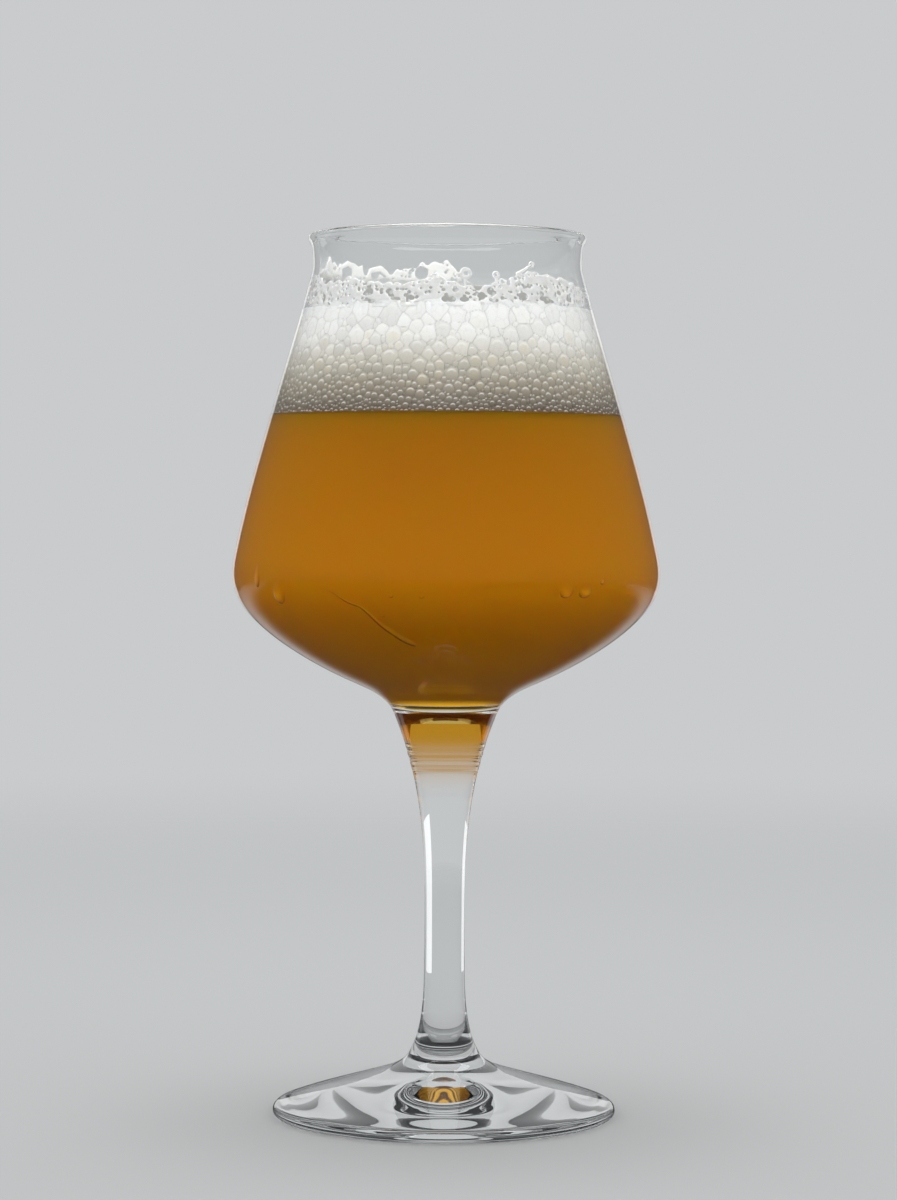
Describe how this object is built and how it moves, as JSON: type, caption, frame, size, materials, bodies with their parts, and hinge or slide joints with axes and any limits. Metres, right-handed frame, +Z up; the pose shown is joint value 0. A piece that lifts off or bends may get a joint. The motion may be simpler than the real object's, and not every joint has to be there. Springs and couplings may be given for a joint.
{
  "type": "tulip beer glass",
  "caption": "Stemmed tulip beer glass, poured: a bellied bowl with a turned-out lip on a slim stem and a low foot, holding amber beer, a foam head and lace.",
  "frame": {"origin": "centre of the flat ring that the foot stands on, at the height of the table", "axes": "+Z up along the axis of the foot, stem and bowl; -Y towards the picture's viewer"},
  "size_m": [0.0962, 0.0962, 0.198],
  "materials": {
    "glass": "clear, fire polished",
    "beer": "clear amber liquid with a light haze",
    "foam": "matte white froth of fine bubbles"
  },
  "bodies": {
    "root": {"bowl": "glass", "stem": "glass", "foot": "glass", "beer": "beer", "foam_head": "foam", "foam_lace": "foam"}
  },
  "joints": []
}
